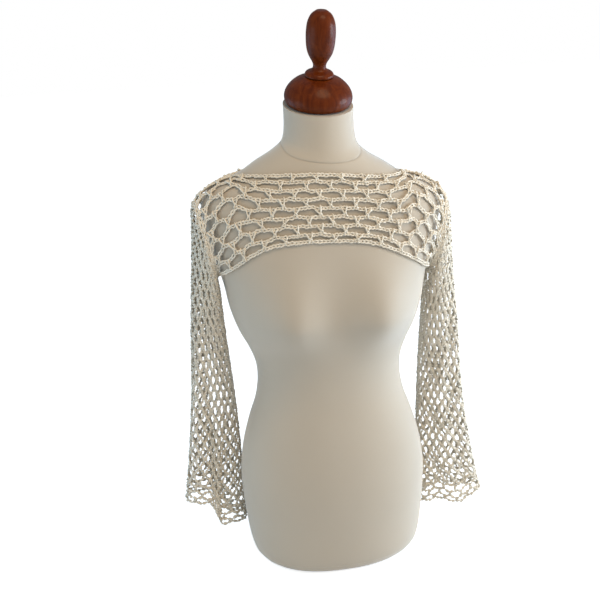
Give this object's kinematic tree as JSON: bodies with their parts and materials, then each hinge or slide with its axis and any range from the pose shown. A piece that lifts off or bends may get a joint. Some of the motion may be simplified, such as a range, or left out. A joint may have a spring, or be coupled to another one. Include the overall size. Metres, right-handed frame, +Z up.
{
  "type": "knitted shrug on a dress form",
  "caption": "Open mesh long-sleeved cropped shrug worn on a limbless dress form with a turned wooden neck cap and finial.",
  "frame": {"origin": "middle of the whole object's footprint, on the surface that it stands on", "axes": "+Z up, -Y the way the dress form faces, +X the dress form's left"},
  "size_m": [0.5214, 0.2442, 0.8969],
  "materials": {
    "cream_cotton": "crocheted cream cotton yarn",
    "cream_jersey": "smooth cream jersey cover",
    "brown_wood": "glossy reddish brown varnish"
  },
  "bodies": {
    "root": {"shrug_front": "cream_cotton", "shrug_back": "cream_cotton", "sleeve_right": "cream_cotton", "sleeve_left": "cream_cotton", "form_torso": "cream_jersey", "neck_cap": "brown_wood", "neck_finial": "brown_wood"}
  },
  "joints": []
}
